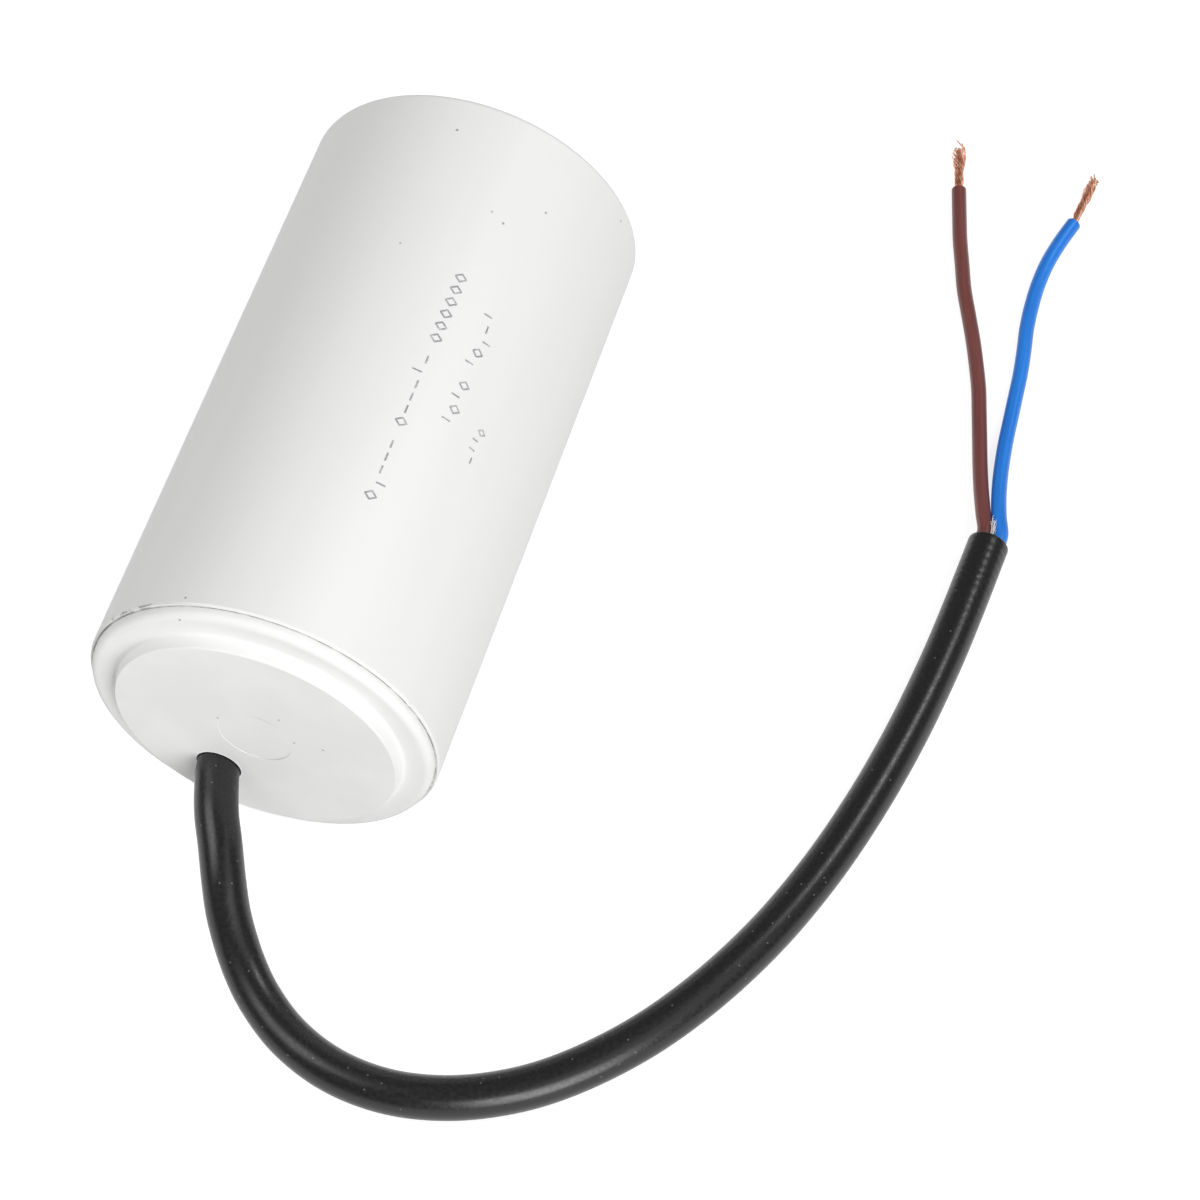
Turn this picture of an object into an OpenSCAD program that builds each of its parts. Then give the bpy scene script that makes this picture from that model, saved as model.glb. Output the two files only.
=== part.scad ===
// Motor run capacitor: a moulded plastic case with a stepped lid, a potted film winding
// and a two-core lead that leaves the lid off centre and ends in two stripped cores.
//
// The case lies on its side. Its axis runs along Y, the lid faces -Y, the floor is z = 0.
// The pieces of the case are drawn standing up and laid down by along_axis(): there the
// local z axis is the case's own axis, 0 at the mouth and growing towards the closed end.

/* [Case] */
// Outside diameter of the case
case_d = 50; // [45:1:60]
// Length of the case from its mouth to the closed end
case_l = 92; // [60:1:130]
// Thickness of the side wall
case_wall = 1.5; // [1:0.1:2.5]
// Thickness of the closed end
base_t = 1.8; // [1.2:0.1:3]
// Rounding of the outside edge at the closed end
base_edge_r = 0.8; // [0.4:0.1:1.5]
// Rounding of the mouth's outside edge
mouth_edge_r = 0.3; // [0.1:0.1:0.6]
// Width of the rim round the shallow dish moulded in the closed end
dish_rim = 4.5; // [3:0.1:8]
// Depth of that dish
dish_depth = 0.5; // [0.2:0.1:0.8]
// Diameter of the injection gate's mark at the middle of the dish
gate_d = 3.2; // [2:0.1:5]
// Height of the gate's mark above the dish
gate_h = 0.3; // [0.1:0.1:0.4]

/* [Lid] */
// How far the flange's edge stands back from the case's outside
flange_inset = 0.6; // [0:0.1:1.2]
// Thickness of the flange
flange_t = 1.6; // [1.2:0.1:2.5]
// Rounding of the flange's outside edge
flange_edge_r = 1.1; // [0.4:0.1:1.2]
// Width of the flange round the raised middle
flange_rim = 4.25; // [3.5:0.05:5]
// Height of the raised middle above the flange
boss_h = 2; // [1:0.1:3]
// How far the raised middle's side leans out towards its foot
boss_draft = 0.25; // [0:0.05:0.6]
// Rounding at the foot of the raised middle
boss_fillet_r = 0.5; // [0.2:0.1:0.8]
// Rounding of the raised middle's top edge
boss_edge_r = 0.25; // [0.1:0.05:0.5]
// Wall of the raised middle
lid_wall = 2; // [1.5:0.1:2.5]
// Length of the skirt that plugs into the case
skirt_l = 6; // [5:0.5:7]
// Wall of the skirt
skirt_wall = 1.6; // [1.2:0.1:2]
// Gap between skirt and case
skirt_gap = 0.1; // [0.05:0.05:0.2]
// Height of the snap bead round the skirt
bead_h = 0.35; // [0.2:0.05:0.5]
// Distance of the snap bead behind the flange
bead_z = 3.6; // [3:0.1:4]
// Gap between the snap bead and its groove
bead_gap = 0.05; // [0.05:0.05:0.1]
// Diameter of the round mark that the mould's insert leaves at the middle of the lid
lid_mark_d = 10.5; // [6:0.5:12]
// Depth of that mark
lid_mark_depth = 0.05; // [0.03:0.01:0.1]

/* [Lead outlet] */
// Sideways place of the outlet, from the case axis
outlet_x = -6.1; // [-8:0.1:-4]
// How far the outlet lies below the case axis
outlet_drop = 10.4; // [9:0.1:12]
// Radial gap between the outlet and the lead
outlet_gap = 0.2; // [0.1:0.05:0.4]
// Wall of the collar inside the lid
collar_wall = 1.2; // [0.8:0.1:1.8]
// Length of the collar behind the lid's wall
collar_l = 4; // [3:0.5:6]

/* [Lead] */
// Outside diameter of the round sheath
sheath_d = 6.1; // [5.4:0.1:6.4]
// Outside diameter of each insulated core
core_d = 2.3; // [1.8:0.1:2.3]
// Diameter of the bundle of strands in a core
strands_d = 1.1; // [0.9:0.05:1.3]
// Distance between the middles of the two cores in the sheath
core_pitch = 2.4; // [2.35:0.05:2.6]
// How far the sheath reaches into the case, from its mouth
sheath_in = 10; // [8:0.5:11]
// Diameter of the filler thread between the cores
thread_d = 0.5; // [0.3:0.05:0.5]

/* [Winding] */
// Thickness of the resin between the winding's wrap and the side wall
winding_gap = 1; // [0.5:0.1:3]
// Thickness of the wrap round the winding
wrap_t = 0.5; // [0.3:0.1:0.6]
// Outside diameter of the winding core
tube_d = 8; // [7:0.5:12]
// Bore of the winding core
tube_bore = 5; // [3.5:0.5:5.5]
// Thickness of the sprayed metal on each end of the winding
contact_t = 0.6; // [0.3:0.1:0.8]

/* [Inner leads] */
// Bend radius of the insulated inner lead
bend_r = 2.5; // [1.5:0.1:2.5]
// Straight stub of a core before its first bend
stub_l = 0.5; // [0.2:0.1:1]
// Gap between the front bends and the winding
bend_gap = 0.4; // [0.2:0.1:0.8]
// Gap between the rear lead and the spacer disc
rear_gap = 0.15; // [0.1:0.05:1]
// Length of the rear lead's insulation beyond its last bend
rear_run = 4.5; // [3:0.5:6]
// Bend radius of the bare conductor
wire_bend_r = 1.5; // [1:0.1:1.7]
// Bare length of the front conductor
front_bare_l = 2; // [1.6:0.1:3]
// Straight length of the rear conductor before its bend
rear_bare_l = 1.5; // [0.5:0.5:3]
// Radius of a solder joint at its foot
solder_r = 3; // [2:0.1:3.5]
// Height of a solder joint
solder_h = 1.4; // [1:0.1:1.4]

/* [Potting] */
// Distance of the resin's surface behind the case's mouth
resin_z = 7.5; // [7:0.1:8]
// Thickness of the spacer disc on the closed end
spacer_t = 1; // [0.6:0.1:1]
// Gap between the spacer disc's edge and the side wall
spacer_gap = 0.2; // [0.1:0.1:1]

/* [Hidden] */
$fn = 96;
wire_fn = 32;

// Case and lid
case_r = case_d / 2;
bore_r = case_r - case_wall;
dish_r = case_r - dish_rim;
flange_r = case_r - flange_inset;
skirt_r = bore_r - skirt_gap;
skirt_bore_r = skirt_r - skirt_wall;
boss_top_r = flange_r - flange_rim;
boss_foot_r = boss_top_r + boss_draft;
pocket_r = boss_top_r - lid_wall;
face_z = -flange_t - boss_h;
base_z = case_l - base_t;
groove_r = bore_r + bead_h - skirt_gap + bead_gap;
total_l = case_l - face_z;
face_y = -total_l / 2;
mouth_y = face_y - face_z;

// Lead
sheath_r = sheath_d / 2;
core_r = core_d / 2;
strands_r = strands_d / 2;
outlet_r = sheath_r + outlet_gap;
outlet_z = case_r - outlet_drop;

// Winding stack: sprayed metal, wound film, sprayed metal
stack_z = sheath_in + stub_l + 2 * bend_r + bend_gap;
film_z = stack_z + contact_t;
spacer_z = base_z - spacer_t;
rear_z = spacer_z - rear_gap - core_r;
stack_end = rear_z - bend_r - bend_gap;
film_end = stack_end - contact_t;
wrap_r = bore_r - winding_gap;
winding_r = wrap_r - wrap_t;
tube_r = tube_d / 2;
spacer_r = bore_r - spacer_gap;

// Inner leads: the front one runs straight to the winding, the rear one crosses to the
// axis and runs through the winding core
front_x = outlet_x - core_pitch / 2;
rear_x = outlet_x + core_pitch / 2;
// (its length is rounded to a thousandth, so that its pieces meet exactly)
cross_l = round(1000 * norm([rear_x, outlet_drop])) / 1000;
cross_a = atan2(-outlet_drop, -rear_x);
cross_z = sheath_in + stub_l + bend_r;
rear_joint_x = cross_l + bend_r + rear_run + rear_bare_l + wire_bend_r;

// Overlap of a cutting tool past the face it opens
cut = 1;

// Route of the lead's middle line. The first two numbers of a point are its places across
// and along the case, in mm from its axis and from the lid's face. The third is the share
// of the drop that is left: 1 at the height the stretch comes from, 0 where it lies down.
sheath_drop = [
    [-5.1, -3.7, 0.98], [-3.8, -7.2, 0.95], [-2.1, -10.7, 0.88], [-0.2, -14.9, 0.72],
    [1.5, -18.3, 0.52], [3.3, -21, 0.35], [5.7, -24, 0.2], [8.7, -27, 0.09],
    [14.1, -30.9, 0.01], [21.3, -33.9, 0], [29.2, -34.8, 0], [37.1, -33.5, 0],
    [44.5, -30.4, 0], [50.9, -26.1, 0], [58.7, -18.4, 0], [65.2, -9.4, 0],
    [71.3, 2.1, 0], [75.9, 14.2, 0], [79.3, 26.7, 0], [81.8, 39.5, 0], [83.5, 52.4, 0],
    [84.3, 61.4, 0], [85.2, 74.9, 0]
];
brown_drop = [
    [83.1, 80.2, 0.86], [81.8, 84.5, 0.5], [80.5, 89.3, 0.17], [79.2, 94.4, 0.02],
    [78, 99, 0], [76.8, 103.5, 0], [75.3, 108, 0], [73.7, 112.4, 0], [71.9, 116.9, 0],
    [70.1, 121.4, 0], [68.6, 126.1, 0], [67.1, 130.8, 0], [65.8, 135.6, 0],
    [64.5, 140.5, 0]
];
brown_bare = [[63.9, 143, 0.8], [63.3, 145.5, 0.5], [62.8, 147.7, 0.2], [62.3, 149.8, 0.1]];
blue_drop = [
    [85.5, 80.2, 0.86], [84.5, 84.5, 0.5], [83.7, 89.4, 0.17], [83.1, 94.7, 0.02],
    [82.8, 99.1, 0], [82.5, 103.6, 0], [82.2, 108, 0], [81.7, 112.4, 0],
    [81.1, 116.8, 0], [80.8, 121.3, 0], [80.8, 125.7, 0], [81.2, 130.2, 0],
    [82.1, 134.7, 0], [83.3, 139.1, 0]
];
blue_bare = [[83.5, 141.5, 0.8], [83.8, 144, 0.5], [84.1, 147, 0.2], [84.4, 149.8, 0.1]];

// Points of a stretch that drops from one height above the floor to another
function dropping(points, from, to) =
    [for (p = points) [p.x, p.y, to + p.z * (from - to)]];

sheath_start = [[outlet_x, sheath_in - face_z, outlet_z], [outlet_x, 0, outlet_z]];
sheath_route = concat(sheath_start, dropping(sheath_drop, outlet_z, sheath_r));
split = sheath_route[len(sheath_route) - 1];
// Directions at the sheath's end: straight on, and level across it
onward = heading(sheath_route, len(sheath_route) - 1);
sideways = cross(onward, [0, 0, 1]);
brown_start = split - core_pitch / 2 * sideways;
blue_start = split + core_pitch / 2 * sideways;
brown_route = concat(
    [brown_start, brown_start + 2 * onward],
    dropping(brown_drop, sheath_r, core_r), dropping(brown_bare, core_r, strands_r)
);
blue_route = concat(
    [blue_start, blue_start + 2 * onward],
    dropping(blue_drop, sheath_r, core_r), dropping(blue_bare, core_r, strands_r)
);
// Thread: each point's place across the lead, onward from the sheath's end and upwards
thread_points = [[0, 0, 0.85], [0, 1.5, 0.9], [-0.2, 3, 1], [-0.4, 4.5, 1.05]];
thread_route = [for (p = thread_points) split + p.x * sideways + p.y * onward + [0, 0, p.z]];
// Route points at which the insulation of each core ends and its bare strands start
brown_strip = len(brown_route) - len(brown_bare) - 1;
blue_strip = len(blue_route) - len(blue_bare) - 1;
sheath_sides = 12;
core_sides = 8;

// Points of an arc about a centre, from angle a to angle b
function arc(centre, r, a, b, steps = 8) =
    [for (i = [0:steps]) centre + r * [cos(a + (b - a) * i / steps), sin(a + (b - a) * i / steps)]];

// Direction of a route at one of its points
function heading(route, i) =
    let (a = route[max(i - 1, 0)], b = route[min(i + 1, len(route) - 1)]) (b - a) / norm(b - a);

// Ring of points square to the route, with one of them straight below the middle line
function ring(route, i, r, sides) =
    let (
        ahead = heading(route, i),
        across = cross(ahead, [0, 0, 1]),
        side = across / norm(across),
        up = cross(side, ahead)
    )
    [for (k = [0:sides - 1]) route[i] + r * (sin(360 * k / sides) * side - cos(360 * k / sides) * up)];

// Solid tube along a stretch of a route
module tube(route, first, last, r, sides) {
    rings = last - first + 1;
    points = [for (i = [first:last]) each ring(route, i, r, sides)];
    walls = [
        for (i = [0:rings - 2], k = [0:sides - 1])
            let (a = i * sides + k, b = i * sides + (k + 1) % sides)
            each [[a, b, b + sides], [a, b + sides, a + sides]]
    ];
    start_cap = [for (k = [sides - 1:-1:0]) k];
    end_cap = [for (k = [0:sides - 1]) (rings - 1) * sides + k];
    translate([0, face_y, 0])
        polyhedron(points = points, faces = concat([start_cap], walls, [end_cap]));
}

// Lays a piece drawn about the z axis down along the case's axis
module along_axis() {
    translate([0, mouth_y, case_r]) rotate([-90, 0, 0]) children();
}

// Quarter bend that starts at the origin along +z and leaves along +x
module bend(radius, r) {
    translate([radius, 0, 0]) rotate([90, 0, 0]) rotate([0, 0, 90])
        rotate_extrude(angle = 90, $fn = wire_fn) translate([radius, 0]) circle(r = r, $fn = wire_fn);
}

// Ring or disc between two heights
module washer(outer, inner, low, high) {
    translate([0, 0, low]) difference() {
        cylinder(r = outer, h = high - low);
        if (inner > 0) translate([0, 0, -cut]) cylinder(r = inner, h = high - low + 2 * cut);
    }
}

module case() {
    profile = concat(
        [[0, base_z], [bore_r, base_z]],
        [[bore_r, bead_z + bead_h + bead_gap], [groove_r, bead_z + bead_gap]],
        [[groove_r, bead_z - bead_gap], [bore_r, bead_z - bead_h - bead_gap]],
        [[bore_r, 0]],
        arc([case_r - mouth_edge_r, mouth_edge_r], mouth_edge_r, -90, 0),
        arc([case_r - base_edge_r, case_l - base_edge_r], base_edge_r, 0, 90),
        [[dish_r + dish_depth, case_l], [dish_r, case_l - dish_depth]],
        [[gate_d / 2 + gate_h / 2, case_l - dish_depth], [gate_d / 2, case_l - dish_depth + gate_h]],
        [[0, case_l - dish_depth + gate_h]]
    );
    color("whitesmoke") along_axis() rotate_extrude() polygon(profile);
}

module end_cap() {
    profile = concat(
        [[lid_mark_d / 2, face_z]],
        arc([boss_top_r - boss_edge_r, face_z + boss_edge_r], boss_edge_r, -90, 0),
        arc([boss_foot_r + boss_fillet_r, -flange_t - boss_fillet_r], boss_fillet_r, 180, 90),
        arc([flange_r - flange_edge_r, flange_edge_r - flange_t], flange_edge_r, -90, 0),
        [[flange_r, 0], [skirt_r, 0]],
        [[skirt_r, bead_z - bead_h], [skirt_r + bead_h, bead_z], [skirt_r, bead_z + bead_h]],
        [[skirt_r, skirt_l - skirt_wall / 2], [skirt_r - skirt_wall / 2, skirt_l]],
        [[skirt_bore_r, skirt_l], [skirt_bore_r, 0], [pocket_r, 0]],
        [[pocket_r, face_z + lid_wall], [0, face_z + lid_wall]],
        [[0, face_z + lid_mark_depth], [lid_mark_d / 2, face_z + lid_mark_depth]]
    );
    color("white") along_axis() difference() {
        union() {
            rotate_extrude() polygon(profile);
            translate([outlet_x, outlet_drop, face_z + lid_wall / 2])
                cylinder(r = outlet_r + collar_wall, h = lid_wall / 2 + collar_l);
        }
        translate([outlet_x, outlet_drop, face_z - cut])
            cylinder(r = outlet_r, h = lid_wall + collar_l + 2 * cut);
    }
}

module cable_sheath() {
    color("#26262a") tube(sheath_route, 0, len(sheath_route) - 1, sheath_r, sheath_sides);
}

module brown_core() {
    color("#7a4a45") tube(brown_route, 0, brown_strip, core_r, core_sides);
}

module blue_core() {
    color("#2a80dc") tube(blue_route, 0, blue_strip, core_r, core_sides);
}

module brown_strands() {
    color("#c98a5a") tube(brown_route, brown_strip, len(brown_route) - 1, strands_r, core_sides);
}

module blue_strands() {
    color("#c98a5a") tube(blue_route, blue_strip, len(blue_route) - 1, strands_r, core_sides);
}

module filler_thread() {
    color("white") tube(thread_route, 0, len(thread_route) - 1, thread_d / 2, core_sides);
}

module film_winding() {
    color("#d8d2c0") along_axis() washer(winding_r, tube_r, film_z, film_end);
}

module winding_core() {
    color("#e8e4da") along_axis() washer(tube_r, tube_bore / 2, stack_z, stack_end);
}

module outer_wrap() {
    color("#e6d9a8") along_axis() washer(wrap_r, winding_r, stack_z, stack_end);
}

module front_contact_layer() {
    color("#9a9da0") along_axis() washer(winding_r, tube_r, stack_z, film_z);
}

module rear_contact_layer() {
    color("#9a9da0") along_axis() washer(winding_r, tube_r, film_end, stack_end);
}

// Inner lead to the front of the winding, straight back from the outlet
module front_wire(r, low, high) {
    translate([front_x, outlet_drop, low]) cylinder(r = r, h = high - low, $fn = wire_fn);
}

// Stands children on the rear lead's first point, with +x towards the case's axis
module rear_frame() {
    translate([rear_x, outlet_drop, 0]) rotate([0, 0, cross_a]) children();
}

// Inner lead to the rear of the winding, from the sheath to the end of its insulation
module rear_wire(r) {
    translate([0, 0, sheath_in]) cylinder(r = r, h = stub_l, $fn = wire_fn);
    translate([0, 0, sheath_in + stub_l]) bend(bend_r, r);
    translate([bend_r, 0, cross_z]) rotate([0, 90, 0])
        cylinder(r = r, h = cross_l - 2 * bend_r, $fn = wire_fn);
    translate([cross_l, 0, cross_z + bend_r]) rotate([0, 180, 0]) bend(bend_r, r);
    translate([cross_l, 0, cross_z + bend_r])
        cylinder(r = r, h = rear_z - cross_z - 2 * bend_r, $fn = wire_fn);
    translate([cross_l, 0, rear_z - bend_r]) bend(bend_r, r);
    translate([cross_l + bend_r, 0, rear_z]) rotate([0, 90, 0])
        cylinder(r = r, h = rear_run, $fn = wire_fn);
}

// Bare end of the rear lead, bent back onto the winding
module rear_bare(r) {
    translate([rear_joint_x - wire_bend_r - rear_bare_l, 0, rear_z]) rotate([0, 90, 0])
        cylinder(r = r, h = rear_bare_l, $fn = wire_fn);
    translate([rear_joint_x, 0, rear_z - wire_bend_r]) mirror([1, 0, 0]) bend(wire_bend_r, r);
    translate([rear_joint_x, 0, stack_end])
        cylinder(r = r, h = rear_z - wire_bend_r - stack_end, $fn = wire_fn);
}

// Dome of solder on a flat face, drawn upwards from z = 0
module solder_dome() {
    ball_r = (solder_r * solder_r + solder_h * solder_h) / (2 * solder_h);
    intersection() {
        translate([0, 0, solder_h - ball_r]) sphere(r = ball_r);
        cylinder(r = solder_r, h = solder_h);
    }
}

module front_lead() {
    color("#2a80dc") along_axis() front_wire(core_r, sheath_in, stack_z - front_bare_l);
}

module front_conductor() {
    color("#c98a5a") along_axis() front_wire(strands_r, stack_z - front_bare_l, stack_z);
}

module rear_lead() {
    color("#7a4a45") along_axis() rear_frame() rear_wire(core_r);
}

module rear_conductor() {
    color("#c98a5a") along_axis() rear_frame() rear_bare(strands_r);
}

// Front joint's dome before the conductor's place is cut from it
module front_dome() {
    translate([front_x, outlet_drop, stack_z]) mirror([0, 0, 1]) solder_dome();
}

// Rear joint's dome before the conductor's place is cut from it, in the rear lead's frame
module rear_dome() {
    translate([rear_joint_x, 0, stack_end]) solder_dome();
}

module front_solder_joint() {
    color("silver") along_axis() difference() {
        front_dome();
        front_wire(strands_r, stack_z - front_bare_l, stack_z + cut);
    }
}

module rear_solder_joint() {
    color("silver") along_axis() rear_frame() difference() {
        rear_dome();
        translate([rear_joint_x, 0, stack_end - cut])
            cylinder(r = strands_r, h = solder_h + 2 * cut, $fn = wire_fn);
    }
}

module potting_resin() {
    color("#4a4038") along_axis() difference() {
        translate([0, 0, resin_z]) cylinder(r = bore_r, h = spacer_z - resin_z);
        translate([0, 0, stack_z]) cylinder(r = wrap_r, h = stack_end - stack_z);
        translate([outlet_x, outlet_drop, resin_z - cut])
            cylinder(r = sheath_r, h = sheath_in - resin_z + cut);
        front_wire(core_r, sheath_in - cut, stack_z - front_bare_l);
        front_wire(strands_r, stack_z - front_bare_l - cut, stack_z + cut);
        front_dome();
        rear_frame() {
            rear_wire(core_r);
            rear_bare(strands_r);
            rear_dome();
        }
    }
}

module rear_spacer() {
    color("#cfc6b0") along_axis() washer(spacer_r, 0, spacer_z, base_z);
}

case();
end_cap();
cable_sheath();
brown_core();
blue_core();
brown_strands();
blue_strands();
filler_thread();
film_winding();
winding_core();
outer_wrap();
front_contact_layer();
rear_contact_layer();
front_solder_joint();
rear_solder_joint();
front_lead();
rear_lead();
front_conductor();
rear_conductor();
potting_resin();
rear_spacer();
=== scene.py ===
"""Looks of a motor run capacitor: a moulded case and lid with a two-core lead.

The lead, its cores, their bare strands and the filler thread are swept or twisted along
the routes that their solids follow. The case, the lid and what lies inside them keep
their solids and get materials. A thin flash of plastic closes the seam between case and
lid, and three rows of plain stamped marks stand on the case. Distances are in metres
unless a name or a comment says mm.
"""

import bpy
import numpy as np
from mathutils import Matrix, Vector


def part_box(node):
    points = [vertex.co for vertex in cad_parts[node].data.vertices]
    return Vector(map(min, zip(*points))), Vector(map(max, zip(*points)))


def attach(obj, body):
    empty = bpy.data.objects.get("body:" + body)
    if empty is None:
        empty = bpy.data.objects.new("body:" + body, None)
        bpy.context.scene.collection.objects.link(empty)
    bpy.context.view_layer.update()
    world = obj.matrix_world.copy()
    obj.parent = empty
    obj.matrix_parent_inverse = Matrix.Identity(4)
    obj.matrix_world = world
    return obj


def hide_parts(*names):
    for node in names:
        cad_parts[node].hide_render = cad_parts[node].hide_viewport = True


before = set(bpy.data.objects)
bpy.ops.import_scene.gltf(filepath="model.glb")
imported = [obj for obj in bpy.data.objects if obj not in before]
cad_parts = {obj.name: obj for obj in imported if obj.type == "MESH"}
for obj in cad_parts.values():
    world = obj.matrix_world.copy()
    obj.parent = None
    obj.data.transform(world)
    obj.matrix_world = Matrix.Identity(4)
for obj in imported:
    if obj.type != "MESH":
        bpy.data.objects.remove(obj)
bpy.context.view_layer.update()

MM = 0.001
rng = np.random.default_rng(7)

# ---------------------------------------------------------------- places on the object

case_lo, case_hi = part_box("case")
lid_lo, lid_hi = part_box("end_cap")
AXIS_X = (case_lo.x + case_hi.x) / 2
AXIS_Z = (case_lo.z + case_hi.z) / 2
CASE_R = (case_hi.z - case_lo.z) / 2
FLANGE_R = (lid_hi.z - lid_lo.z) / 2
FACE_Y = lid_lo.y
MOUTH_Y = case_lo.y

# ------------------------------------------------------------------------- camera

# A long lens, high above the lid's end of the case
camera = bpy.data.objects.new("camera", bpy.data.cameras.new("camera"))
bpy.context.scene.collection.objects.link(camera)
bpy.context.scene.camera = camera
camera.data.sensor_width = 36
camera.data.lens = 112.1
camera.data.clip_start = 0.05
camera.data.clip_end = 20
camera.location = (0.1216, -0.2856, 0.4545)
looked_at = Vector((0.0359, -0.0063, 0.0145))
camera.rotation_mode = "QUATERNION"
camera.rotation_quaternion = (looked_at - camera.location).to_track_quat("-Z", "Y")

# --------------------------------------------------------------- routes of the lead


def in_metres(points):
    """Route points in mm, measured from the case's axis, the lid's face and the floor."""
    return (np.asarray(points, float) + [AXIS_X / MM, FACE_Y / MM, 0]) * MM


def dropping(points, high, low):
    """Points whose third number is a share of the drop, as heights between `high` and `low`."""
    return [[x, y, low + share * (high - low)] for x, y, share in points]


# Sizes in mm
SHEATH_D = 6.1
CORE_D = 2.3
CORE_PITCH = 2.4
BUNDLE_D = 1.1
THREAD_D = 0.5
STRAND_D = 0.2
FIBRE_R = 0.035
INSERT_R = 5.25
# The outlet's place across the case's axis and above the floor
OUTLET = [-6.1, 14.6]

SHEATH_LINE = [[OUTLET[0], 13.6, OUTLET[1]], [OUTLET[0], 0, OUTLET[1]]] + dropping([
    [-5.1, -3.7, 0.98], [-3.8, -7.2, 0.95], [-2.1, -10.7, 0.88], [-0.2, -14.9, 0.72],
    [1.5, -18.3, 0.52], [3.3, -21, 0.35], [5.7, -24, 0.2], [8.7, -27, 0.09],
    [14.1, -30.9, 0.01], [21.3, -33.9, 0], [29.2, -34.8, 0], [37.1, -33.5, 0],
    [44.5, -30.4, 0], [50.9, -26.1, 0], [58.7, -18.4, 0], [65.2, -9.4, 0],
    [71.3, 2.1, 0], [75.9, 14.2, 0], [79.3, 26.7, 0], [81.8, 39.5, 0], [83.5, 52.4, 0],
    [84.3, 61.4, 0], [85.2, 74.9, 0],
], OUTLET[1], SHEATH_D / 2)
# Directions at the sheath's end: straight on, and level across it
SPLIT = np.array(SHEATH_LINE[-1])
ONWARD = SPLIT - SHEATH_LINE[-2]
ONWARD /= np.linalg.norm(ONWARD)
SIDEWAYS = np.cross(ONWARD, [0, 0, 1])
CORE_DROPS = {
    "brown": [
        [83.1, 80.2, 0.86], [81.8, 84.5, 0.5], [80.5, 89.3, 0.17], [79.2, 94.4, 0.02],
        [78, 99, 0], [76.8, 103.5, 0], [75.3, 108, 0], [73.7, 112.4, 0], [71.9, 116.9, 0],
        [70.1, 121.4, 0], [68.6, 126.1, 0], [67.1, 130.8, 0], [65.8, 135.6, 0],
        [64.5, 140.5, 0],
    ],
    "blue": [
        [85.5, 80.2, 0.86], [84.5, 84.5, 0.5], [83.7, 89.4, 0.17], [83.1, 94.7, 0.02],
        [82.8, 99.1, 0], [82.5, 103.6, 0], [82.2, 108, 0], [81.7, 112.4, 0],
        [81.1, 116.8, 0], [80.8, 121.3, 0], [80.8, 125.7, 0], [81.2, 130.2, 0],
        [82.1, 134.7, 0], [83.3, 139.1, 0],
    ],
}
BARE_DROPS = {
    "brown": [[63.9, 143, 0.8], [63.3, 145.5, 0.5], [62.8, 147.7, 0.2], [62.3, 149.8, 0.1]],
    "blue": [[83.5, 141.5, 0.8], [83.8, 144, 0.5], [84.1, 147, 0.2], [84.4, 149.8, 0.1]],
}
SHEATH_ROUTE = in_metres(SHEATH_LINE)
CORE_ROUTES = {}
BARE_ROUTES = {}
for colour, side in (("brown", -1), ("blue", 1)):
    start = SPLIT + side * CORE_PITCH / 2 * SIDEWAYS
    insulated = dropping(CORE_DROPS[colour], SHEATH_D / 2, CORE_D / 2)
    bare = dropping(BARE_DROPS[colour], CORE_D / 2, BUNDLE_D / 2)
    CORE_ROUTES[colour] = in_metres([start, start + 2 * ONWARD, *insulated])
    BARE_ROUTES[colour] = in_metres([*insulated[-2:], *bare])
# Each point's place across the lead, onward from the sheath's end and upwards
THREAD_POINTS = np.array([[0, 0, 0.85], [0, 1.5, 0.9], [-0.2, 3, 1], [-0.4, 4.5, 1.05]])
THREAD_ROUTE = in_metres(SPLIT + THREAD_POINTS @ [SIDEWAYS, ONWARD, [0, 0, 1]])


def run_along(points):
    """Distance from the first point to each point of a line."""
    return np.concatenate([[0], np.cumsum(np.linalg.norm(np.diff(points, axis=0), axis=1))])


def read_at(at, run, vectors):
    """Vectors that are given at the distances `run`, read off at the distances `at`."""
    return np.stack([np.interp(at, run, vectors[:, k]) for k in range(3)], axis=-1)


def even_path(points, step):
    """The same line with its points an even distance apart, about `step`."""
    run = run_along(points)
    at = np.linspace(0, run[-1], max(2, round(run[-1] / step) + 1))
    return read_at(at, run, points)


def smooth_path(points, step):
    """Even points along a centripetal Catmull-Rom curve through the route's points.

    Each point is blended from its four nearest route points, whose knots lie the square
    roots of their distances apart, which keeps the curve free of loops and overshoot.
    """
    pieces = 30
    p = np.vstack([2 * points[0] - points[1], points, 2 * points[-1] - points[-2]])
    knots = np.concatenate([[0], np.cumsum(np.linalg.norm(np.diff(p, axis=0), axis=1) ** 0.5)])
    t = np.concatenate([
        np.linspace(a, b, pieces, endpoint=False) for a, b in zip(knots[1:-2], knots[2:-1])
    ])
    i = np.repeat(np.arange(1, len(p) - 2), pieces)

    def blend(low, high, a, b):
        share = ((t - low) / (high - low))[:, None]
        return (1 - share) * a + share * b

    k0, k1, k2, k3 = (knots[i + n] for n in (-1, 0, 1, 2))
    p0, p1, p2, p3 = (p[i + n] for n in (-1, 0, 1, 2))
    a1, a2, a3 = blend(k0, k1, p0, p1), blend(k1, k2, p1, p2), blend(k2, k3, p2, p3)
    b1, b2 = blend(k0, k2, a1, a2), blend(k1, k3, a2, a3)
    return even_path(np.vstack([blend(k1, k2, b1, b2), points[-1:]]), step)


# ------------------------------------------------------------------- mesh building


def across(path):
    """Level side vector and up vector, square to the path at each of its points."""
    ahead = np.gradient(path, axis=0)
    ahead /= np.linalg.norm(ahead, axis=1, keepdims=True)
    side = np.cross(ahead, [0, 0, 1.0])
    side /= np.linalg.norm(side, axis=1, keepdims=True)
    return side, np.cross(side, ahead)


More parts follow.
